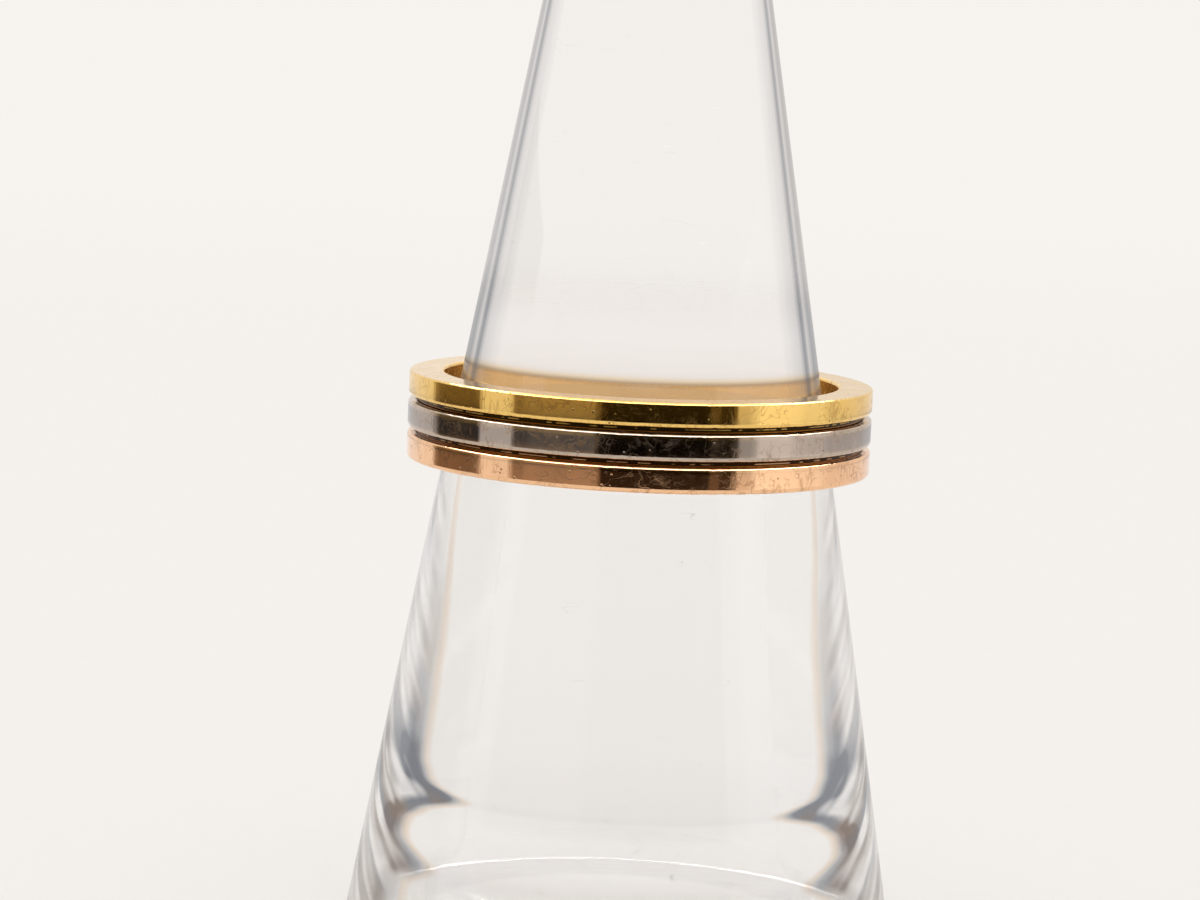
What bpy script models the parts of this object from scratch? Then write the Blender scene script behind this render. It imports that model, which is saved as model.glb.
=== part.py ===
"""Three-colour band ring on a clear display cone.

The ring is three flat bands of different metals, stacked and joined at
narrow recessed necks: yellow on top, white in the middle, rose below.
It sits where the cone is just narrower than its bore.
Lengths are in metres, +Z is up, and the origin is the centre of the
cone's base.
"""
import math

import bmesh
import bpy

for old in list(bpy.data.objects):
    bpy.data.objects.remove(old, do_unlink=True)

# Ring: the bore and the wall are shared by all three bands.
RING_BORE = 0.0170
BAND_WALL = 0.0015
YELLOW_WIDTH = 0.00104
WHITE_WIDTH = 0.00114
ROSE_WIDTH = 0.00109

# Grooves between the bands, and the necks at their floors.
UPPER_GROOVE_WIDTH = 0.00025
LOWER_GROOVE_WIDTH = 0.00023
GROOVE_DEPTH = 0.00040
SEAM_GAP = 0.00003

# Eased edges of the bands.
TOP_EASE = 0.00010
BOTTOM_EASE = 0.00015
BORE_EASE = 0.00012

# Clear cone: straight side between base and tip, with a domed tip.
CONE_BASE_DIAMETER = 0.0239
CONE_TIP_DIAMETER = 0.0050
CONE_SIDE_HEIGHT = 0.0539
CONE_DOME_HEIGHT = 0.0016
CONE_FOOT_EASE = 0.00025

# Shallow round recess under the cone, which leaves a flat rim to stand on.
RECESS_DIAMETER = 0.0170
RECESS_DEPTH = 0.0023

# Radial play between the ring's lower rim and the cone that carries it.
RING_PLAY = 0.00011

RING_SEGMENTS = 120
CONE_SEGMENTS = 96
EASE_STEPS = 2
DOME_STEPS = 6

bore_radius = RING_BORE / 2
outer_radius = bore_radius + BAND_WALL
neck_radius = outer_radius - GROOVE_DEPTH
cone_base_radius = CONE_BASE_DIAMETER / 2
cone_tip_radius = CONE_TIP_DIAMETER / 2
cone_taper = (cone_base_radius - cone_tip_radius) / CONE_SIDE_HEIGHT


def material(name, colour, metallic, roughness):
    """A Principled material; clear plastic is the one that isn't metallic."""
    mat = bpy.data.materials.new(name)
    mat.use_nodes = True
    shader = mat.node_tree.nodes["Principled BSDF"]
    shader.inputs["Base Color"].default_value = (*colour, 1.0)
    shader.inputs["Metallic"].default_value = metallic
    shader.inputs["Roughness"].default_value = roughness
    if metallic == 0.0:
        shader.inputs["Transmission Weight"].default_value = 1.0
        shader.inputs["IOR"].default_value = 1.49
    mat.diffuse_color = (*colour, 1.0)
    return mat


def eased_corner(radius, height, out_r, out_z, ease, steps):
    """Rounded corner of a profile, from its flat end to its upright end.

    out_r and out_z are +1 or -1 and point from the metal out to the corner.
    """
    points = []
    for step in range(steps + 1):
        angle = math.pi / 2 * step / steps
        points.append((
            radius - out_r * ease * (1 - math.sin(angle)),
            height - out_z * ease * (1 - math.cos(angle)),
        ))
    return points


def turned(name, profile, segments, mat):
    """Turn a closed (radius, height) profile round +Z into one solid.

    The profile runs anticlockwise in the radius and height plane.
    A point at radius 0 is a pole.
    """
    mesh = bpy.data.meshes.new(name)
    bm = bmesh.new()
    rings = []
    for radius, height in profile:
        if radius == 0.0:
            rings.append([bm.verts.new((0.0, 0.0, height))])
            continue
        ring = []
        for index in range(segments):
            angle = 2 * math.pi * index / segments
            ring.append(bm.verts.new((
                radius * math.cos(angle), radius * math.sin(angle), height)))
        rings.append(ring)
    for here, there in zip(rings, rings[1:] + rings[:1]):
        if len(here) == 1 and len(there) == 1:
            continue
        for index in range(segments):
            following = (index + 1) % segments
            if len(here) == 1:
                bm.faces.new((here[0], there[following], there[index]))
            elif len(there) == 1:
                bm.faces.new((here[index], here[following], there[0]))
            else:
                bm.faces.new((here[index], here[following],
                              there[following], there[index]))
    bmesh.ops.recalc_face_normals(bm, faces=bm.faces)
    bm.to_mesh(mesh)
    bm.free()
    mesh.shade_smooth()
    mesh.set_sharp_from_angle(angle=math.radians(20))
    mesh.materials.append(mat)
    obj = bpy.data.objects.new(name, mesh)
    bpy.context.scene.collection.objects.link(obj)
    return obj


def band_profile(width, neck_above=0.0, neck_below=0.0):
    """Section of one band, its lower face at height 0, with its necks.

    A neck is the part of the wall that stays at the floor of a groove.
    """
    top = width + neck_above
    bottom = -neck_below
    points = []
    if neck_below > 0.0:
        points.append((bore_radius, bottom))
        points.append((neck_radius, bottom))
        points.append((neck_radius, 0.0))
    else:
        points += eased_corner(bore_radius, 0.0, -1, -1, BORE_EASE, 1)[::-1]
    points += eased_corner(outer_radius, 0.0, 1, -1, BOTTOM_EASE, EASE_STEPS)
    points += eased_corner(outer_radius, width, 1, 1, TOP_EASE, EASE_STEPS)[::-1]
    if neck_above > 0.0:
        points.append((neck_radius, width))
        points.append((neck_radius, top))
        points.append((bore_radius, top))
    else:
        points += eased_corner(bore_radius, width, -1, 1, BORE_EASE, 1)
    return points


def plain_band_profile(width):
    """Section of the middle band: square to the bore, eased outside."""
    points = [(bore_radius, 0.0)]
    points += eased_corner(outer_radius, 0.0, 1, -1, BOTTOM_EASE, EASE_STEPS)
    points += eased_corner(outer_radius, width, 1, 1, TOP_EASE, EASE_STEPS)[::-1]
    points.append((bore_radius, width))
    return points


def cone_profile():
    """Section of the clear cone: recessed foot, straight side, domed tip."""
    points = [
        (0.0, RECESS_DEPTH),
        (RECESS_DIAMETER / 2, RECESS_DEPTH),
        (RECESS_DIAMETER / 2, 0.0),
        (cone_base_radius - CONE_FOOT_EASE, 0.0),
        (cone_base_radius - cone_taper * CONE_FOOT_EASE, CONE_FOOT_EASE),
    ]
    for step in range(DOME_STEPS):
        angle = math.pi / 2 * step / DOME_STEPS
        points.append((
            cone_tip_radius * math.cos(angle),
            CONE_SIDE_HEIGHT + CONE_DOME_HEIGHT * math.sin(angle),
        ))
    points.append((0.0, CONE_SIDE_HEIGHT + CONE_DOME_HEIGHT))
    return points


yellow_gold = material("yellow_gold", (0.80, 0.56, 0.22), 1.0, 0.12)
white_gold = material("white_gold", (0.56, 0.54, 0.52), 1.0, 0.14)
rose_gold = material("rose_gold", (0.80, 0.48, 0.32), 1.0, 0.12)
clear_acrylic = material("clear_acrylic", (1.0, 1.0, 1.0), 0.0, 0.02)

# The ring slides down until its lower rim meets the cone's side.
seat_height = (cone_base_radius - bore_radius + RING_PLAY) / cone_taper
white_height = seat_height + ROSE_WIDTH + LOWER_GROOVE_WIDTH
yellow_height = white_height + WHITE_WIDTH + UPPER_GROOVE_WIDTH

display_cone = turned(
    "display_cone", cone_profile(), CONE_SEGMENTS, clear_acrylic)

rose_band = turned(
    "rose_band",
    band_profile(ROSE_WIDTH, neck_above=LOWER_GROOVE_WIDTH - SEAM_GAP),
    RING_SEGMENTS, rose_gold)
rose_band.location.z = seat_height

white_band = turned(
    "white_band", plain_band_profile(WHITE_WIDTH), RING_SEGMENTS, white_gold)
white_band.location.z = white_height

yellow_band = turned(
    "yellow_band",
    band_profile(YELLOW_WIDTH, neck_below=UPPER_GROOVE_WIDTH - SEAM_GAP),
    RING_SEGMENTS, yellow_gold)
yellow_band.location.z = yellow_height
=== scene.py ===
# %% [markdown]
# # A three-colour band ring on a clear cone
# The object is a finger ring made of three flat bands, yellow, white and rose
# gold, on a clear acrylic cone of the kind that shops use to show rings.
# The exact sizes are already in a CAD model. This lesson loads that model,
# turns finer versions of its parts, gives them worn, polished finishes, and
# lights them the way a small product photograph is lit.

# %% Load the CAD model
import math
import random

import bmesh
import bpy
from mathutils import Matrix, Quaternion, Vector, noise


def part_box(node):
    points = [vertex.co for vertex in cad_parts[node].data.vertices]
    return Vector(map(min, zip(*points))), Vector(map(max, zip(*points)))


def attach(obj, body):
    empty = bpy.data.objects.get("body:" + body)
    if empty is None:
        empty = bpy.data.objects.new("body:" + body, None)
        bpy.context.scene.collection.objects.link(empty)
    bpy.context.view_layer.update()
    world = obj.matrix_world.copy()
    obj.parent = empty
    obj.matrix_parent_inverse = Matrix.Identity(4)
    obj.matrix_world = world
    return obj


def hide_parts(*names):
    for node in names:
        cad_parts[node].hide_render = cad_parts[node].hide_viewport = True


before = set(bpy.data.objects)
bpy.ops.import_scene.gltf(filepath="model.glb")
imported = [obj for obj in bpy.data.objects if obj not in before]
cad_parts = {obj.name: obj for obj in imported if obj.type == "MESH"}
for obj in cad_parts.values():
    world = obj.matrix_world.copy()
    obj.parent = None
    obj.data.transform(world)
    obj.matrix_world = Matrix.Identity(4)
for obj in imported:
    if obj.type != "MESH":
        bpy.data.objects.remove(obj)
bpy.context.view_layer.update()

# %% [markdown]
# ## Sizes that everything else hangs on
# Blender works in metres here, and the ring is 20 mm across, so one value
# turns millimetres into metres. The heights of the bands are read from the
# CAD nodes, so the finer bands can't drift away from them.

# %% Heights and radii
MM = 0.001


def node_heights(node):
    """Lowest and highest point of a CAD node, in metres."""
    low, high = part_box(node)
    return low[2], high[2]


rose_low, rose_high = node_heights("rose_band")
white_low, white_high = node_heights("white_band")
yellow_low, yellow_high = node_heights("yellow_band")
ring_top = yellow_high

BORE_RADIUS = 8.5 * MM
OUTER_RADIUS = 10.0 * MM
NECK_RADIUS = 9.6 * MM
YELLOW_WIDTH = 1.04 * MM
WHITE_WIDTH = 1.14 * MM
ROSE_WIDTH = 1.09 * MM
print("ring from", round(rose_low / MM, 3), "to", round(ring_top / MM, 3), "mm")

# %% [markdown]
# ## Turning a profile on the lathe
# Every part of this object is round, and a jeweller would turn it on a lathe.
# Blender has a Screw modifier for that, but a mesh built point by point also
# lets single points move, which the small nicks on the worn edges need.
# The profile is a list of (radius, height) points, walked anticlockwise.

# %% The lathe


def add_object(name, bm, finish):
    """Put a mesh that is ready into the scene, with one material."""
    mesh = bpy.data.meshes.new(name)
    bm.to_mesh(mesh)
    bm.free()
    mesh.materials.append(finish)
    thing = bpy.data.objects.new(name, mesh)
    bpy.context.scene.collection.objects.link(thing)
    print(name, len(mesh.vertices), "points", len(mesh.polygons), "faces")
    return thing


def disc(name, radius, height, segments, finish):
    """A flat round sheet at a height."""
    bm = bmesh.new()
    bmesh.ops.create_circle(bm, cap_ends=True, segments=segments, radius=radius)
    bmesh.ops.translate(bm, verts=bm.verts, vec=(0.0, 0.0, height))
    return add_object(name, bm, finish)


def turn(name, profile, segments, finish, sharp_angle, wear=None):
    """Turn a closed profile round +Z; wear may move each point a little."""
    bm = bmesh.new()
    hoops = []
    for radius, height in profile:
        if radius == 0.0:
            hoops.append([bm.verts.new((0.0, 0.0, height))])
            continue
        hoop = []
        for index in range(segments):
            angle = 2 * math.pi * index / segments
            r, z = wear(angle, radius, height) if wear else (radius, height)
            hoop.append(bm.verts.new((r * math.cos(angle), r * math.sin(angle), z)))
        hoops.append(hoop)
    for here, there in zip(hoops, hoops[1:] + hoops[:1]):
        if len(here) == len(there) == 1:
            continue
        for index in range(segments):
            after = (index + 1) % segments
            if len(here) == 1:
                corners = (here[0], there[after], there[index])
            elif len(there) == 1:
                corners = (here[index], here[after], there[0])
            else:
                corners = (here[index], here[after], there[after], there[index])
            bm.faces.new(corners)
    bmesh.ops.recalc_face_normals(bm, faces=bm.faces)
    piece = add_object(name, bm, finish)
    piece.data.shade_smooth()
    piece.data.set_sharp_from_angle(angle=math.radians(sharp_angle))
    return piece


# %% [markdown]
# ## Writing shader maths as plain sums
# A material is a graph of nodes. Wiring Math nodes by hand hides the idea,
# so a small class wraps one output of a node, and +, -, * and / on it add the
# Math nodes. Every other kind of node comes from one method, which takes its
# type, its settings and what goes into its sockets.

# %% A wire between shader nodes


class Wire:
    """One node output. Sums on it become Math nodes."""

    def __init__(self, tree, socket=None):
        self.tree = tree
        self.socket = socket

    def node(self, kind, settings=None, sockets=None, out=0):
        """Add a node, set its settings first, then fill or link its sockets."""
        made = self.tree.nodes.new(kind)
        for key, value in (settings or {}).items():
            if key == "stops":
                ramp = made.color_ramp
                while len(ramp.elements) < len(value):
                    ramp.elements.new(0.5)
                for element, (place, colour) in zip(ramp.elements, value):
                    element.position = place
                    element.color = (*colour, 1.0)
            elif key == "ramp_blend":
                made.color_ramp.interpolation = value
            else:
                setattr(made, key, value)
        for key, value in (sockets or {}).items():
            target = made.inputs[key]
            if isinstance(value, Wire):
                self.tree.links.new(value.socket, target)
            else:
                target.default_value = value
        return Wire(self.tree, made.outputs[out] if made.outputs else None)

    def maths(self, operation, *terms):
        return self.node("ShaderNodeMath", {"operation": operation},
                         dict(enumerate(terms)))

    def __add__(self, other):
        return self.maths("ADD", self, other)

    __radd__ = __add__

    def __sub__(self, other):
        return self.maths("SUBTRACT", self, other)

    def __rsub__(self, other):
        return self.maths("SUBTRACT", other, self)

    def __mul__(self, other):
        return self.maths("MULTIPLY", self, other)

    __rmul__ = __mul__

    def __truediv__(self, other):
        return self.maths("DIVIDE", self, other)

    def __abs__(self):
        return self.maths("ABSOLUTE", self)

    def under(self, limit):
        """1 where this is smaller than the limit."""
        return self.maths("LESS_THAN", self, limit)

    def at_most(self, limit):
        return self.maths("MINIMUM", self, limit)

    def fade(self, low, high):
        """0 where this is under low, 1 over high, smooth between."""
        return self.node("ShaderNodeMapRange", {"interpolation_type": "SMOOTHSTEP"},
                         {"Value": self, "From Min": low, "From Max": high})

    def along(self, axis):
        """One axis of a vector."""
        return self.node("ShaderNodeSeparateXYZ", None, {"Vector": self}, out=axis)

    def from_axis(self):
        """How far a place is from the upright axis."""
        x, y = self.along(0), self.along(1)
        return self.maths("SQRT", x * x + y * y)

    def stretched(self, x, y, z):
        """A vector with each axis scaled."""
        return self.node("ShaderNodeVectorMath", {"operation": "MULTIPLY"},
                         {0: self, 1: (x, y, z)})

    def shifted(self, seed):
        """A vector moved to another part of a pattern."""
        return self.node("ShaderNodeVectorMath", {"operation": "ADD"},
                         {0: self, 1: (seed, seed * 0.7, seed * 1.3)})

    def follow(self, stops, blend="EASE"):
        """A curve through (value, result) pairs; results are numbers or colours."""
        first, last = stops[0][0], stops[-1][0]
        colours = [((at - first) / (last - first),
                    result if isinstance(result, tuple) else (result,) * 3)
                   for at, result in stops]
        return self.node("ShaderNodeValToRGB", {"ramp_blend": blend, "stops": colours},
                         {"Fac": (self - first) / (last - first)})

    def same_node(self, out):
        """Another output of the node that this wire comes from."""
        return Wire(self.tree, self.socket.node.outputs[out])

    def tint(self, first, second):
        """Blend two colours by this value; 6, 7 and 2 are the colour sockets."""
        return self.node("ShaderNodeMix", {"data_type": "RGBA"},
                         {0: self, 6: first, 7: second}, out=2)

    def blend(self, first, second):
        """Blend two shaders by this value."""
        return self.node("ShaderNodeMixShader", None, {0: self, 1: first, 2: second})

    def bump(self):
        """A normal bent by this height, which is in millimetres."""
        return self.node("ShaderNodeBump", None,
                         {"Strength": 1.0, "Distance": MM, "Height": self})


def new_finish(name):
    """An empty material, and a wire to build it with."""
    finish = bpy.data.materials.new(name)
    finish.use_nodes = True
    finish.node_tree.nodes.clear()
    return finish, Wire(finish.node_tree)


def close_finish(finish, surface):
    """Send the surface to the material's output, and say how big it grew."""
    surface.node("ShaderNodeOutputMaterial", None, {"Surface": surface})
    print(finish.name, len(finish.node_tree.nodes), "nodes")
    return finish


def in_mm(build):
    """Where a spot is on its object, in millimetres."""
    return build.node("ShaderNodeTexCoord", out="Object").stretched(*[1 / MM] * 3)


def rgba(red, green, blue):
    return (red, green, blue, 1.0)


def darker(colour, share):
    return rgba(*[channel * share for channel in colour])


# %% [markdown]
# ## Marks that polishing and wearing leave
# A gold band is polished like a mirror and then worn for years. Seen close it
# keeps the mirror, but fine curled hairlines cross it, small dents catch the
# light, and the face is never quite flat, so the edges of reflections wander.
# The hairlines are made from noise: where smooth noise passes through one
# exact value it draws a thin wandering line, just like a scratch from grit.
# Everything is measured in millimetres on the ring itself.

# %% Hairlines, patches and dents


def hairlines(mm, scale, width, seed, distortion):
    """Thin curling lines where noise crosses its middle value: 1 on a line."""
    field = mm.node("ShaderNodeTexNoise", None, {
        "Vector": mm.shifted(seed), "Scale": scale, "Detail": 0.0,
        "Distortion": distortion})
    return 1.0 - abs(field - 0.5).fade(0.0, width)


def patches(mm, scale, low, high, seed):
    """Soft patches: 1 inside, 0 outside."""
    field = mm.node("ShaderNodeTexNoise", None,
                    {"Vector": mm.shifted(seed), "Scale": scale, "Detail": 1.0})
    return field.fade(low, high)


def dents(mm, scale, size, share, seed):
    """Small round pits at some of the scattered Voronoi points."""
    distance = mm.node("ShaderNodeTexVoronoi", None,
                       {"Vector": mm.shifted(seed), "Scale": scale}, out="Distance")
    chance = distance.same_node("Color").along(0)
    return (1.0 - distance.fade(size * 0.3, size)) * chance.under(share)


# %% Scratches, pits and waves of a band
# How high or deep each thing is, in millimetres.
WAVE, RIPPLE = 0.0260, 0.0034
SCRATCH, PIT, NICK = 0.0005, 0.0024, 0.0060


def wear_marks(mm, rim, seed):
    """Scratches, pits, and nicks that crowd along the rims: 1 on a mark."""
    swirls = hairlines(mm, scale=1.3, width=0.045, seed=seed, distortion=1.2)
    swirls = swirls * patches(mm, scale=0.6, low=0.40, high=0.60, seed=seed + 3)
    fine = hairlines(mm, scale=3.0, width=0.085, seed=seed + 9, distortion=0.9)
    fine = fine * patches(mm, scale=1.0, low=0.46, high=0.60, seed=seed + 5)
    upright = hairlines(mm.stretched(2.6, 2.6, 0.5), scale=0.9, width=0.030,
                        seed=seed + 33, distortion=0.3)
    upright = upright * patches(mm, scale=0.9, low=0.54, high=0.62, seed=seed + 14)
    scratch = (swirls * 0.8 + fine * 0.7 + upright * 0.8).at_most(1.0)
    pits = dents(mm, scale=2.2, size=0.16, share=0.60, seed=seed)
    nicks = dents(mm, scale=3.0, size=0.28, share=0.40, seed=seed + 7) * rim
    return scratch, pits, nicks


def gold_relief(mm, scratch, pits, nicks, seed):
    """The marks, on the slow upright waves that hand polishing leaves."""
    wave = mm.node("ShaderNodeTexNoise", None, {
        "Vector": mm.stretched(1.0, 1.0, 0.06).shifted(seed + 50),
        "Scale": 0.7, "Detail": 0.0})
    ripple = mm.node("ShaderNodeTexNoise", None, {
        "Vector": mm.stretched(1.0, 1.0, 0.10).shifted(seed + 60),
        "Scale": 2.6, "Detail": 1.0})
    return (wave * WAVE + ripple * RIPPLE - scratch * SCRATCH
            - pits * PIT - nicks * NICK).bump()


print("deepest mark", NICK, "mm")

# %% [markdown]
# ## The three golds
# One function makes all three finishes, because only the alloy's colour and the place
# of the grooves differ. A groove is rougher than the face and carries painted shade, a
# near-black colour, and the bore is duller too. Pits and nicks carry painted shade as
# well. A broken lighter line runs along the floor of a groove, where the painted shade
# is lifted towards the band's own colour, and a thin orange painted reflection runs at
# the groove's lower edge.

# %% The gold finish
SCRATCH_TONE = (0.42, 0.34, 0.26)
# Orange of a thin painted reflection at a groove's lower edge.
PAINTED_REFLECTION_ORANGE = rgba(0.52, 0.19, 0.03)


def worn_gold(name, colour, painted_shade_colour, low, high, seed,
              groove_below=False, groove_above=False, line_at=None, orange_reflection_at=None):
    """Polished gold with hairlines, dents, soft edges, and painted shade and painted
    reflection in the groove.
    """
    finish, build = new_finish(name)
    mm = in_mm(build)
    z, radius = mm.along(2), mm.from_axis()
    low, high = low / MM, high / MM
    middle, half = (low + high) / 2, (high - low) / 2
    rim = abs(z - middle).fade(half - 0.22, half - 0.06)
    scratch, pits, nicks = wear_marks(mm, rim, seed)

    # Where a groove is: beside the face, deeper than it, outside the bore.
    beside = 0.0
    if groove_below:
        beside = 1.0 - z.fade(low - 0.02, low + 0.06)
    if groove_above:
        beside = beside + z.fade(high - 0.06, high + 0.02)
    groove = (1.0 - radius.fade(9.62, 9.74)) * radius.fade(8.9, 9.2) * beside
    bore = 1.0 - radius.fade(8.55, 8.75)

    # Colour: a faint cloud, painted shade in pits and nicks, scratches, then painted
    # shade in the grooves.
    cloud = patches(mm, scale=0.9, low=0.30, high=0.75, seed=seed + 40)
    shade = cloud.tint(rgba(*colour), darker(colour, 0.94))
    # Painted shade: pits and nicks are tinted towards the dark shade colour, standing
    # in for the shade inside the dents.
    shade = (pits * 0.85 + nicks * 0.3).fade(0.05, 1.0).tint(shade, rgba(*painted_shade_colour))
    dull = rgba(*[channel * part for channel, part in zip(colour, SCRATCH_TONE)])
    shade = (scratch * 0.52).tint(shade, dull)
    # Painted shade: the groove is coloured nearly black, standing in for the shade
    # between the bands.
    shade = groove.tint(shade, darker(painted_shade_colour, 0.16))
    if line_at is not None:
        # A broken lighter line along the groove floor lifts the painted shade towards
        # the band's own colour.
        line = 1.0 - abs(z - line_at / MM).fade(0.010, 0.030)
        dashes = patches(mm.stretched(1.0, 1.0, 0.1), scale=1.5, low=0.46, high=0.52,
                         seed=seed + 70)
        shade = (line * dashes * groove * 0.6).tint(shade, darker(colour, 0.8))
        # Painted reflection: a thin orange line at the groove's lower edge, standing in
        # for the gold mirrored in the next band's top edge.
        foot = 1.0 - abs(z - orange_reflection_at / MM).fade(0.008, 0.026)
        shade = (foot * groove * 0.7).tint(shade, PAINTED_REFLECTION_ORANGE)

    # Roughness: nearly a mirror, duller on marks and haze.
    haze = patches(mm, scale=1.3, low=0.52, high=0.72, seed=seed + 80)
    rough = (0.05 + scratch * 0.10 + haze * 0.05 + cloud * 0.03 + pits * 0.25
             + groove * 0.30 + bore * 0.14)
    surface = build.node("ShaderNodeBsdfPrincipled", None, {
        "Base Color": shade, "Metallic": 1.0, "Roughness": rough,
        "Normal": gold_relief(mm, scratch, pits, nicks, seed)})
    finish.diffuse_color = rgba(*colour)
    return close_finish(finish, surface)


yellow_gold = worn_gold(
    "yellow_gold_worn", (0.93, 0.62, 0.19), (0.16, 0.09, 0.02),
    yellow_high - YELLOW_WIDTH, yellow_high, seed=1.0, groove_below=True,
    line_at=yellow_low + 0.13 * MM, orange_reflection_at=yellow_low + 0.02 * MM)
white_gold = worn_gold(
    "white_gold_worn", (0.53, 0.435, 0.355), (0.09, 0.07, 0.06),
    white_high - WHITE_WIDTH, white_high, seed=12.0, groove_below=True,
    groove_above=True)
rose_gold = worn_gold(
    "rose_gold_worn", (0.95, 0.585, 0.335), (0.18, 0.08, 0.03),
    rose_low, rose_low + ROSE_WIDTH, seed=27.0, groove_above=True,
    line_at=rose_high - 0.09 * MM, orange_reflection_at=rose_low + ROSE_WIDTH + 0.03 * MM)

# %% [markdown]
# ## The three bands
# Each band is a flat strip with eased edges, joined to the next one at a neck
# that lies deeper than the face, so a dark groove runs between the colours.
# The CAD bands are coarse. These ones follow the same section with rounder
# corners, a face that falls away a little near its edges, as polishing does,
# and small nicks along the edges.

# %% The section of a band
LOWER_EASE, UPPER_EASE, BORE_EASE = 0.15 * MM, 0.11 * MM, 0.12 * MM
FACE_FALL = 0.0032 * MM
FACE_ROWS = 12


def rounded(radius, height, out_r, out_z, ease, steps=7):
    """Corner of a section, from its flat end to its upright end."""
    points = []
    for step in range(steps + 1):
        angle = math.pi / 2 * step / steps
        points.append((radius - out_r * ease * (1 - math.sin(angle)),
                       height - out_z * ease * (1 - math.cos(angle))))
    return points


def outer_face(low, high):
    """The band's outside: eased corners and a face soft near its edges."""
    points = rounded(OUTER_RADIUS, low, 1, -1, LOWER_EASE)
    start, stop = low + LOWER_EASE, high - UPPER_EASE
    for row in range(1, FACE_ROWS):
        points.append((OUTER_RADIUS, start + (stop - start) * row / FACE_ROWS))
    points += rounded(OUTER_RADIUS, high, 1, 1, UPPER_EASE)[::-1]
    middle, half = (low + high) / 2, (high - low) / 2
    return [(r - FACE_FALL * abs((z - middle) / half) ** 6, z) for r, z in points]


def support(points, gap=0.02 * MM):
    """Extra points near long straight runs, so shading stays crisp there."""
    kept = []
    for here, there in zip(points, points[1:] + points[:1]):
        kept.append(here)
        length = math.dist(here, there)
        if length > 6 * gap:
            for part in (gap / length, 1 - gap / length):
                kept.append((here[0] + (there[0] - here[0]) * part,
                             here[1] + (there[1] - here[1]) * part))
    return kept


def band_section(low, high, neck_low=None, neck_high=None):
    """Section of one band with the neck below or above it, if it has one."""
    points = []
    if neck_low is not None:
        points += [(BORE_RADIUS, neck_low), (NECK_RADIUS, neck_low), (NECK_RADIUS, low)]
    elif neck_high is not None:
        points += rounded(BORE_RADIUS, low, -1, -1, BORE_EASE, 4)[::-1]
    else:
        points += [(BORE_RADIUS, low)]
    points += outer_face(low, high)
    if neck_high is not None:
        points += [(NECK_RADIUS, high), (NECK_RADIUS, neck_high),
                   (BORE_RADIUS, neck_high)]
    elif neck_low is not None:
        points += rounded(BORE_RADIUS, high, -1, 1, BORE_EASE, 4)
    else:
        points += [(BORE_RADIUS, high)]
    return support(points)


print("white band's section has", len(band_section(white_low, white_high)), "points")

# %% Nicks along the worn edges
NICK_COUNT = 90
NICK_SPREAD = (0.006, 0.016)  # half width, in radians round the ring
NICK_DEPTH = (0.003, 0.016)  # in millimetres
EDGE_WEAR = 0.004 * MM
DEEPEST_PRESS = 0.022 * MM


def edge_wear(low, high, seed):
    """A function that presses small nicks into the band's outer corners."""
    random.seed(seed)
    marks = [(random.uniform(0, 2 * math.pi), random.choice((-1, 1)),
              random.uniform(*NICK_SPREAD), random.uniform(*NICK_DEPTH) * MM)
             for _ in range(NICK_COUNT)]
    middle, half = (low + high) / 2, (high - low) / 2

    def wear(angle, radius, height):
        side = 1 if height > middle else -1
        near = max(0.0, abs(height - middle) / half - 0.75) / 0.25
        if radius < 9.7 * MM or near == 0.0:
            return radius, height
        press = 0.0
        for place, edge, spread, depth in marks:
            gap = abs((angle - place + math.pi) % (2 * math.pi) - math.pi)
            if edge == side and gap < 3 * spread:
                press += depth * math.exp(-(gap / spread) ** 2)
        slow = noise.noise(Vector((math.cos(angle) * 6, math.sin(angle) * 6, seed)))
        press += EDGE_WEAR * (0.5 + 0.5 * slow)
        press = min(press, DEEPEST_PRESS) * near
        return radius - press * 0.7, height - side * press * 0.7

    return wear


print(NICK_COUNT, "nicks on each band")

# %% Turn the bands
BAND_SEGMENTS = 720
BAND_SHARP = 40
yellow_piece = turn(
    "yellow_gold_band",
    band_section(yellow_high - YELLOW_WIDTH, yellow_high, neck_low=yellow_low),
    BAND_SEGMENTS, yellow_gold, BAND_SHARP,
    edge_wear(yellow_high - YELLOW_WIDTH, yellow_high, 4))
white_piece = turn(
    "white_gold_band", band_section(white_low, white_high),
    BAND_SEGMENTS, white_gold, BAND_SHARP,
    edge_wear(white_low, white_high, 5))
rose_piece = turn(
    "rose_gold_band",
    band_section(rose_low, rose_low + ROSE_WIDTH, neck_high=rose_high),
    BAND_SEGMENTS, rose_gold, BAND_SHARP,
    edge_wear(rose_low, rose_low + ROSE_WIDTH, 6))
for piece, node, slot in ((yellow_piece, "yellow_band", "yellow_gold"),
                          (white_piece, "white_band", "white_gold"),
                          (rose_piece, "rose_band", "rose_gold")):
    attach(piece, "root")
    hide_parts(node)

# %% [markdown]
# ## The streaks in the cone's sides
# Solid acrylic bends light, so dark and pale streaks gather along its sides while its
# middle stays clear. How they fall depends on the whole room, which a photograph of the
# cone doesn't show, so they are painted here by curves: painted shade in blue-grey and
# brown, and a pale painted fringe. One set follows the height. The other follows Layer
# Weight, which is 0 where the surface faces the eye and 1 at the outline, so the
# streaks hold from any side.

# %% Curves of the streaks
# Above the ring, by Layer Weight: how dark the two thin lines of painted shade in each
# side are.
UPPER_LINES = [
    (0.0, 0.0), (0.40, 0.0), (0.46, 0.08), (0.52, 0.165), (0.575, 0.235),
    (0.605, 0.42), (0.64, 0.70), (0.67, 0.60), (0.70, 0.30), (0.735, 0.42),
    (0.78, 0.60), (0.88, 0.54), (1.0, 0.34)]
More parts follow.
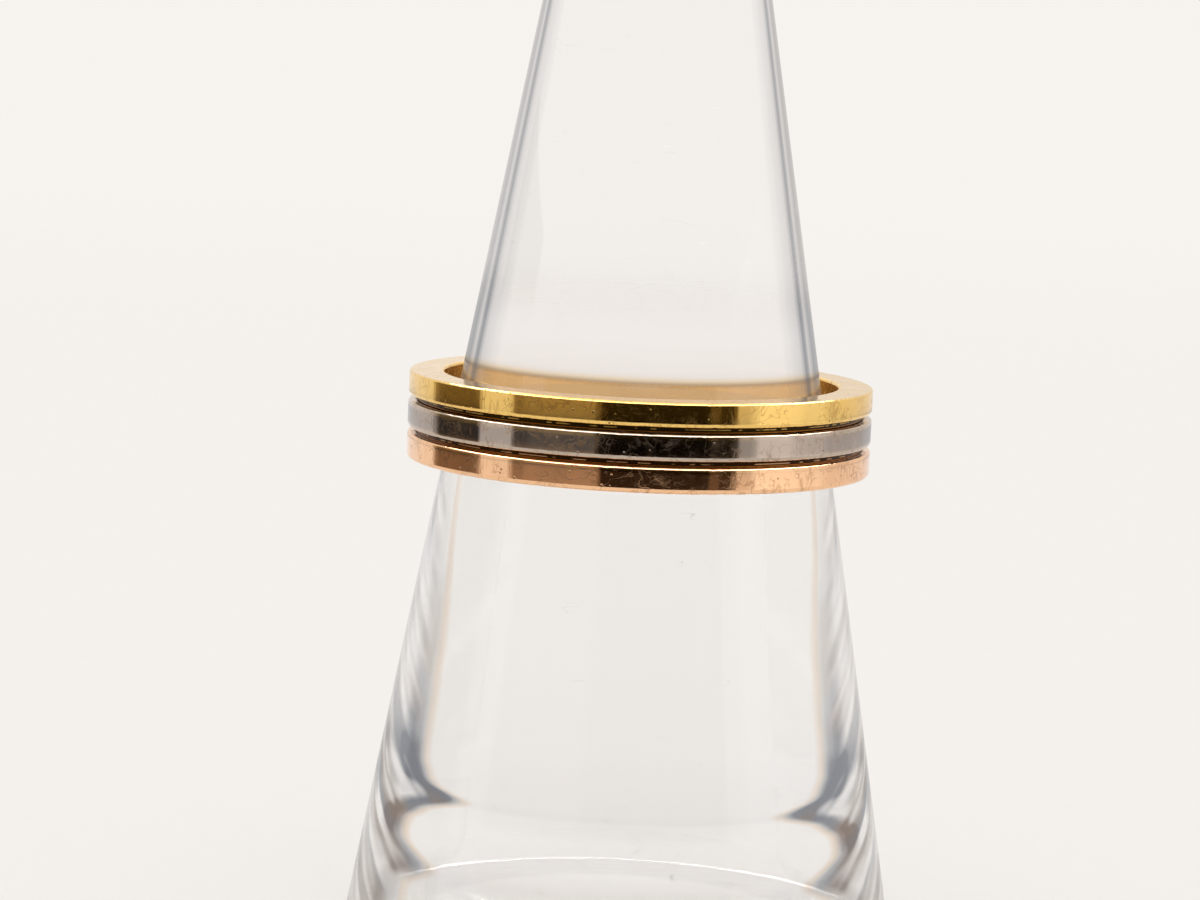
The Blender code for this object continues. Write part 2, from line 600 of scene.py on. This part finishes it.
# Below it, by height in millimetres: the Layer Weight where the band of painted shade
# starts, which pinches inwards twice, then how dark that band is.
INNER_EDGE = [
    (3.0, 0.42), (3.85, 0.32), (4.7, 0.44), (5.47, 0.464), (5.9, 0.425),
    (6.4, 0.345), (6.87, 0.235), (7.3, 0.35), (8.0, 0.411), (8.9, 0.435),
    (10.9, 0.44), (14.2, 0.465), (16.7, 0.515), (20.0, 0.57)]
BAND_DEPTH = [
    (3.0, 0.35), (3.85, 0.62), (4.6, 0.60), (5.4, 0.80), (6.87, 0.85), (8.36, 0.80),
    (9.5, 0.55), (10.9, 0.42), (14.2, 0.34), (16.7, 0.18), (20.0, 0.10)]
# How dark the level bands of painted shade are that run right across.
LEVEL_BANDS = [
    (3.0, 0.075), (3.6, 0.11), (4.3, 0.02), (4.8, 0.0), (5.8, 0.0), (6.55, 0.04),
    (6.85, 0.095), (7.15, 0.075), (8.2, 0.063), (10.0, 0.035), (14.0, 0.018)]
STREAK_SLANT, STREAKS_ACROSS, STREAKS_UP = 0.13, 7.0, 0.28


def lower_streaks(z, side):
    """Below the ring, painted refraction: how dark the painted shade is, where a pale
    painted fringe runs, and where the shade is brown.
    """
    inwards = side - z.follow(INNER_EDGE, "CARDINAL")
    depth = z.follow(BAND_DEPTH)
    slanted = z.node("ShaderNodeCombineXYZ", None, {
        0: (side - z * STREAK_SLANT) * STREAKS_ACROSS, 2: z * STREAKS_UP})
    swirl = z.node("ShaderNodeTexNoise", None, {
        "Vector": slanted, "Scale": 1.0, "Detail": 1.0,
        "Distortion": 0.3}).fade(0.36, 0.64)
    core = inwards.fade(-0.02, 0.05) * (1.0 - inwards.fade(0.08, 0.22)) * depth
    outer = inwards.fade(0.04, 0.16) * (0.06 + (0.38 + 0.42 * depth) * swirl)
    outer = outer * (1.0 - 0.5 * z.fade(8.5, 12.0))
    rim = side.fade(0.74, 0.84) * 0.16
    dark = (core + outer + rim + z.follow(LEVEL_BANDS)).at_most(0.92)
    fringe = inwards.fade(-0.05, -0.01) * (1.0 - inwards.fade(0.0, 0.03))
    brown = z.node("ShaderNodeTexNoise", None, {
        "Vector": slanted, "Scale": 0.7, "Detail": 0.0}).fade(0.42, 0.56)
    return dark, fringe, brown


print("streak curves from", INNER_EDGE[0][0], "to", INNER_EDGE[-1][0], "mm up")

# %% [markdown]
# ## Over the ring's mouth
# Just above the ring the real plastic bends the far side of the bore into view, as a
# warm glow with a brown line over it, and a milky veil that thins out upwards. Both are
# painted here: a matt look with a little light of its own carries a painted reflection
# of the bore and a painted pale veil.

# %% The glow and the veil
BEYOND = (0.93, 0.90, 0.877)
# Colours of the painted reflection of the bore, then of the painted pale veil.
MOUTH_TINTS = [  # by height over the ring's top, in millimetres
    (0.0, (0.86, 0.56, 0.27)), (0.32, (0.86, 0.56, 0.27)),
    (0.44, (0.53, 0.38, 0.23)), (0.50, (0.53, 0.38, 0.24)),
    (0.60, (0.76, 0.63, 0.46)), (0.67, (0.88, 0.76, 0.60)),
    (0.80, (0.91, 0.87, 0.83)), (1.0, BEYOND), (6.0, BEYOND)]
OWN_LIGHT = 0.6


def mouth_look(up, upper_dark, painted_shade_tone):
    """How much of the clear look it covers, and the matt look with the painted
    reflection, the painted veil and light of its own.
    """
    glow = 0.45 * (1.0 - up.fade(0.34, 0.42))
    veil = up.fade(0.36, 0.50) * (1.0 - up.fade(2.0, 5.0)) * 0.97
    tint = upper_dark.tint(up.follow(MOUTH_TINTS, "LINEAR"), painted_shade_tone)
    matt = up.node("ShaderNodeMix", {"data_type": "RGBA"},
                   {0: OWN_LIGHT, 6: tint, 7: rgba(0.0, 0.0, 0.0)}, out=2)
    painted_mouth_look = up.node("ShaderNodeBsdfPrincipled", None, {
        "Base Color": matt, "Roughness": 1.0, "Specular IOR Level": 0.0,
        "Emission Color": tint, "Emission Strength": OWN_LIGHT})
    return glow + veil, painted_mouth_look


print("mouth tints for", MOUTH_TINTS[-1][0], "mm over the ring")

# %% [markdown]
# ## Clear acrylic
# Most of the look is a thin see-through sheet, darkened by the streaks, with
# gloss that grows towards the sides. Under the ring a fifth of it is true
# clear plastic that bends light. A Mix Shader changes from the lower look to
# the upper one behind the ring, where nobody sees the join. Only faces turned
# to the eye carry streaks and gloss, so the far side doesn't show them twice.

# %% The acrylic finish
CLEAR = rgba(0.99, 0.99, 0.99)
THIN_CLEAR = rgba(0.992, 0.992, 0.992)
# Blue-grey and brown of the painted shade in the streaks, and the pale painted fringe;
# they stand for light that the plastic bends.
PAINTED_SHADE_BLUE = rgba(0.12, 0.145, 0.19)
PAINTED_SHADE_BROWN = rgba(0.20, 0.145, 0.115)
PAINTED_FRINGE_PALE = rgba(0.90, 0.82, 0.73)


def acrylic_marks(mm):
    """Handling marks, and a normal bent by them, by specks and by slow flow."""
    marks = hairlines(mm.stretched(0.6, 0.6, 2.2), scale=0.9, width=0.008, seed=17.0,
                      distortion=0.8)
    marks = marks * patches(mm, scale=0.8, low=0.57, high=0.64, seed=23.0)
    specks = dents(mm, scale=0.8, size=0.05, share=0.3, seed=5.0)
    flow = mm.node("ShaderNodeTexNoise", None, {
        "Vector": mm.stretched(1.0, 1.0, 0.4), "Scale": 0.25, "Detail": 0.0})
    return marks, (flow * 0.030 - marks * 0.0010 - specks * 0.004).bump()


def clear_acrylic(name):
    """The cone's finish: drawn streaks, some true refraction and gloss."""
    finish, build = new_finish(name)
    mm = in_mm(build)
    z = mm.along(2)
    up = z - ring_top / MM
    above = z.fade(ring_top / MM - 2.2, ring_top / MM - 1.6)
    marks, normal = acrylic_marks(mm)
    side = build.node("ShaderNodeLayerWeight", None, {"Blend": 0.5}, out="Facing")

    # Skin is 1 on the cone's outside and 0 in the recess, which stays plain.
    skin = z.fade(2.35, 2.45)
    skin = skin + mm.from_axis().fade(8.6, 8.8) * (1.0 - skin)
    front = (1.0 - build.node("ShaderNodeNewGeometry", out="Backfacing")) * skin

    upper_dark = side.follow(UPPER_LINES)
    lower_dark, fringe, brown = lower_streaks(z, side)
    dark = (above * upper_dark + (1.0 - above) * lower_dark) * front
    fringe = fringe * (1.0 - above) * front
    brown = brown * (1.0 - above)

    # True clear plastic, and the thin look with its streaks.
    solid = build.node("ShaderNodeBsdfPrincipled", None, {
        "Base Color": dark.tint(CLEAR, PAINTED_SHADE_BLUE), "Roughness": 0.035,
        "IOR": 1.49, "Transmission Weight": 1.0, "Normal": normal})

    def see_through(colour):
        return build.node("ShaderNodeBsdfTransparent", None, {"Color": colour})

    thin = fringe.blend(see_through(THIN_CLEAR), see_through(PAINTED_FRINGE_PALE))
    thin = dark.blend(thin, brown.blend(see_through(PAINTED_SHADE_BLUE), see_through(PAINTED_SHADE_BROWN)))

    # Gloss: low on the calm band near the foot and on the tip.
    gloss = build.node("ShaderNodeBsdfGlossy", None,
                       {"Roughness": 0.03, "Normal": normal})
    calm = z.fade(4.1, 4.6) * (1.0 - z.fade(5.7, 6.5))
    tip = z.fade(52.0, 54.5)
    facing = (0.048 - 0.04 * calm + 0.046 * above) * (1.0 - 0.85 * tip)
    shine = facing + 0.80 * side * side * side * side * side + marks * 0.25
    clear = (shine.at_most(1.0) * front).blend(thin, gloss)

    lower = (0.80 + 0.20 * calm + 0.12 * (1.0 - skin)).blend(solid, clear)
    cover, painted_mouth_look = mouth_look(up, upper_dark, PAINTED_SHADE_BLUE)
    finish.diffuse_color = rgba(0.9, 0.93, 0.96)
    return close_finish(finish, above.blend(lower, cover.blend(clear, painted_mouth_look)))


acrylic = clear_acrylic("clear_acrylic_cone")

# %% [markdown]
# ## The cone
# A shop cone is turned or cast in one piece, with a flat rim to stand on, a shallow
# recess under it and a domed tip. The edge of that recess shows faintly through the
# plastic, and the dark level lines across the lower part of the cone are painted shade.

# %% Section and turning of the cone
FOOT_RADIUS, TIP_RADIUS = 11.95 * MM, 2.5 * MM
SIDE_HEIGHT, DOME_HEIGHT = 53.9 * MM, 1.6 * MM
RECESS_RADIUS, RECESS_DEPTH = 8.5 * MM, 2.3 * MM
FOOT_EASE, RECESS_EASE, LIP_EASE = 0.25 * MM, 0.3 * MM, 0.05 * MM
CORNER_STEPS, SIDE_ROWS, DOME_STEPS = 6, 60, 12
CONE_SEGMENTS, CONE_SHARP = 384, 35
taper = (FOOT_RADIUS - TIP_RADIUS) / SIDE_HEIGHT


def cone_section():
    """From the middle of the recess, round the foot and up to the tip."""
    points = [(0.0, RECESS_DEPTH), (RECESS_RADIUS - RECESS_EASE, RECESS_DEPTH)]
    for step in range(1, CORNER_STEPS + 1):
        angle = math.pi / 2 * step / CORNER_STEPS
        points.append((RECESS_RADIUS - RECESS_EASE * (1 - math.sin(angle)),
                       RECESS_DEPTH - RECESS_EASE * (1 - math.cos(angle))))
    points += [(RECESS_RADIUS, LIP_EASE), (RECESS_RADIUS + LIP_EASE, 0.0)]
    for step in range(CORNER_STEPS + 1):
        angle = math.pi / 2 * step / CORNER_STEPS
        rise = FOOT_EASE * (1 - math.cos(angle))
        points.append((FOOT_RADIUS - FOOT_EASE * (1 - math.sin(angle)) - taper * rise,
                       rise))
    start = points[-1]
    for row in range(1, SIDE_ROWS):
        part = row / SIDE_ROWS
        points.append((start[0] + (TIP_RADIUS - start[0]) * part,
                       start[1] + (SIDE_HEIGHT - start[1]) * part))
    for step in range(DOME_STEPS):
        angle = math.pi / 2 * step / DOME_STEPS
        points.append((TIP_RADIUS * math.cos(angle),
                       SIDE_HEIGHT + DOME_HEIGHT * math.sin(angle)))
    points.append((0.0, SIDE_HEIGHT + DOME_HEIGHT))
    return points


cone_piece = turn("clear_cone", cone_section(), CONE_SEGMENTS, acrylic, CONE_SHARP)
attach(cone_piece, "root")
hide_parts("display_cone")

# %% [markdown]
# ## The camera
# The photograph was taken from close by and a little above. The distance,
# the angle and the small roll come from fitting a camera to the curves of the
# ring's edges. The lens is a long one, so the ring fills the picture.

# %% Camera from the fitted view
DISTANCE, LIFT, ROLL, FOCAL_PIXELS = 159.2 * MM, 5.746, 2.604, 3686.4
PICTURE_WIDTH, PICTURE_HEIGHT = 1200, 900
SENSOR_WIDTH = 36.0
RING_PIXEL = (641.33, 377.04)


def place_camera():
    """Stand the camera off the ring's top, then turn it off centre."""
    lens = bpy.data.cameras.new("camera")
    lens.sensor_width = SENSOR_WIDTH
    lens.lens = FOCAL_PIXELS / PICTURE_WIDTH * SENSOR_WIDTH
    lens.clip_start = 0.001
    camera = bpy.data.objects.new("camera", lens)
    bpy.context.scene.collection.objects.link(camera)
    lift = math.radians(LIFT)
    target = Vector((0.0, 0.0, ring_top))
    away = Vector((0.0, -math.cos(lift), math.sin(lift)))
    camera.location = target + away * DISTANCE
    aim = (-away).to_track_quat("-Z", "Y")
    roll = Quaternion((0.0, 0.0, 1.0), math.radians(ROLL))
    off_centre = Vector(((RING_PIXEL[0] - PICTURE_WIDTH / 2) / FOCAL_PIXELS,
                         (PICTURE_HEIGHT / 2 - RING_PIXEL[1]) / FOCAL_PIXELS, -1.0))
    turn_back = off_centre.rotation_difference(Vector((0.0, 0.0, -1.0)))
    camera.rotation_mode = "QUATERNION"
    camera.rotation_quaternion = aim @ roll @ turn_back
    bpy.context.scene.camera = camera
    print("camera at", tuple(round(c / MM, 1) for c in camera.location), "mm, lens",
          round(lens.lens, 2))


place_camera()

# %% [markdown]
# ## The floor and the white surroundings
# Small shiny things are photographed on a white sheet inside a white tent.
# The world is the tent: even, slightly warm white. The floor is a large pale
# disc whose far rim fades out, so that no horizon shows. Part of its brightness
# is light of its own, which keeps it as even as the sheet in the photograph.

# %% White world and pale floor
TENT_WHITE = rgba(0.925, 0.890, 0.857)
FLOOR_RADIUS, FLOOR_FADE = 0.62, (0.25, 0.60)
world = bpy.data.worlds.new("white_tent")
bpy.context.scene.world = world
world.use_nodes = True
tent = world.node_tree.nodes["Background"]
tent.inputs["Color"].default_value = TENT_WHITE
tent.inputs["Strength"].default_value = 1.0
bpy.context.scene.view_settings.view_transform = "Standard"
print("tent white", TENT_WHITE[:3])


def white_sheet():
    """Matt pale card with a faint grain, fading out at its far rim."""
    finish, build = new_finish("white_sheet")
    place = build.node("ShaderNodeTexCoord", out="Object")
    grain = build.node("ShaderNodeTexNoise", None, {
        "Vector": place, "Scale": 700.0, "Detail": 2.0}).fade(0.30, 0.80)
    sheet = build.node("ShaderNodeBsdfPrincipled", None, {
        "Base Color": grain.tint(rgba(0.388, 0.388, 0.388), rgba(0.394, 0.394, 0.394)),
        "Roughness": 1.0, "Specular IOR Level": 0.0,
        "Emission Color": rgba(0.915, 0.880, 0.847), "Emission Strength": 0.6})
    nothing = build.node("ShaderNodeBsdfTransparent")
    faded = place.from_axis().fade(*FLOOR_FADE)
    return close_finish(finish, faded.blend(sheet, nothing))


floor = disc("floor", FLOOR_RADIUS, 0.0, 96, white_sheet())

# %% [markdown]
# ## What the gold reflects
# Polished metal has hardly a look of its own: it shows the room. The ring in
# the photograph mirrors a pale panel on each side, a grey card at the left and
# the dark of the room behind the camera. A ring of cards round the table
# carries those tones. Only glossy rays see it, so it casts no shadow and
# never shows in the picture.

# %% The cards and how each band mirrors them
# Each card: where it starts and ends, in degrees to the right of the camera,
# its tone, and how many degrees its edges take to fade.
CARDS = [
    ("pale wall, left", -180, -117, 0.92, 8), ("dark stand", -117, -81, 0.19, 3),
    ("softbox, left", -81, -62, 0.90, 3), ("gap", -62, -55, 0.28, 4),
    ("grey card", -55, -19, 0.35, 4), ("dark room", -19, 33, 0.024, 2),
    ("narrow grey strip", 33, 38, 0.13, 1), ("dark room, right", 38, 47.5, 0.05, 1),
    ("softbox edge, right", 47.5, 57, 0.74, 3), ("softbox, right", 57, 80, 1.14, 8),
    ("tent, right", 80, 100, 1.00, 8), ("tent seam", 100, 122, 0.86, 8),
    ("pale wall, right", 122, 180, 0.86, 12)]

# The bands mirror the cards at three heights. There, in millimetres: the
# contrast of the tones, their strength, and the green and blue of the shadows.
# Yellow and rose gold deepen their own shadows; white gold keeps them neutral.
ROSE_VIEW = (0.95, 1.04, (0.60, 0.32))
WHITE_VIEW = (1.95, 0.80, (1.05, 1.16))
YELLOW_VIEW = (1.00, 1.00, (0.66, 0.18))
HEIGHTS = [(-10.0, ROSE_VIEW), (6.3, ROSE_VIEW), (7.0, WHITE_VIEW), (9.1, WHITE_VIEW),
           (9.6, YELLOW_VIEW), (55.0, YELLOW_VIEW)]
CARD_RING_RADIUS, CARD_RING_SEGMENTS = 0.13, 720
FULL_TINT = 0.98  # green and blue of a bright card


def tone_at(degrees):
    """Tone of the cards in one direction, with their edges faded."""
    total = weight = 0.0
    for _, start, end, tone, soft in CARDS:
        rise = fall = 1.0
        if start > -180:
            rise = min(max((degrees - start) / soft + 0.5, 0.0), 1.0)
        if end < 180:
            fall = min(max((end - degrees) / soft + 0.5, 0.0), 1.0)
        total += tone * rise * fall
        weight += rise * fall
    return total / weight


print(len(CARDS), "cards, tone", round(tone_at(0), 3), "in front of the ring,",
      round(tone_at(70), 3), "at its right")

# %% A ring of cards round the table


def card_ring(radius, segments):
    """An upright hoop of faces that carries the cards' tones on its points."""
    bm = bmesh.new()
    glow = bm.verts.layers.float_color.new("glow")
    columns = []
    for index in range(segments):
        degrees = -180 + 360 * index / segments
        angle = math.radians(degrees)
        column = []
        for height, (contrast, strength, (green, blue)) in HEIGHTS:
            tone = strength * tone_at(degrees) ** contrast
            pale = min(tone, 1.0)
            vert = bm.verts.new((radius * math.sin(angle), -radius * math.cos(angle),
                                 height * MM))
            vert[glow] = (tone, tone * (green + (FULL_TINT - green) * pale),
                          tone * (blue + (FULL_TINT - blue) * pale), 1.0)
            column.append(vert)
        columns.append(column)
    for here, there in zip(columns, columns[1:] + columns[:1]):
        for row in range(len(HEIGHTS) - 1):
            bm.faces.new((here[row], there[row], there[row + 1], here[row + 1]))
    finish, build = new_finish("card_tones")
    tone = build.node("ShaderNodeAttribute", {"attribute_name": "glow"}, out="Color")
    light = build.node("ShaderNodeBsdfPrincipled", None, {
        "Base Color": rgba(0.0, 0.0, 0.0), "Roughness": 1.0, "Specular IOR Level": 0.0,
        "Emission Color": tone, "Emission Strength": 1.0})
    return add_object("card_ring", bm, close_finish(finish, light))


def only_for_gloss(thing):
    """Let mirrors see it, and nothing else."""
    thing.visible_camera = False
    thing.visible_diffuse = False
    thing.visible_transmission = False
    thing.visible_shadow = False
    thing.visible_volume_scatter = False


cards = card_ring(CARD_RING_RADIUS, CARD_RING_SEGMENTS)
only_for_gloss(cards)

# %% [markdown]
# ## The softbox overhead
# A broad light above the table draws the thin white lines along the upper
# edges of the bands. Its rim is brighter than its middle, like a ring light, so
# the flat top of the ring stays gold when it is seen from above. A matt
# surface gets nothing from it, even by way of a mirror, so it can't leave
# bright specks on the sheet.

# %% Overhead softbox
SOFTBOX_RADIUS, SOFTBOX_HEIGHT = 0.22, 0.17
RIM_FROM, RIM_FULL = 0.40, 0.62  # parts of the radius
MIDDLE_STRENGTH, RIM_STRENGTH = 1.45, 6.0
LAMP_WHITE = rgba(1.0, 0.97, 0.94)


def softbox_glow():
    """A dim middle and a bright rim, dark to light that came off matt things."""
    finish, build = new_finish("softbox_glow")
    place = build.node("ShaderNodeTexCoord", out="Object")
    rim = place.from_axis().fade(RIM_FROM * SOFTBOX_RADIUS, RIM_FULL * SOFTBOX_RADIUS)
    direct = build.node("ShaderNodeLightPath", out="Diffuse Depth").under(0.5)

    def lamp(strength):
        return build.node("ShaderNodeEmission", None,
                          {"Color": LAMP_WHITE, "Strength": strength})

    light = rim.blend(lamp(MIDDLE_STRENGTH), lamp(RIM_STRENGTH))
    return close_finish(finish, direct.blend(lamp(0.0), light))


overhead = disc("softbox", SOFTBOX_RADIUS, SOFTBOX_HEIGHT, 64, softbox_glow())
only_for_gloss(overhead)
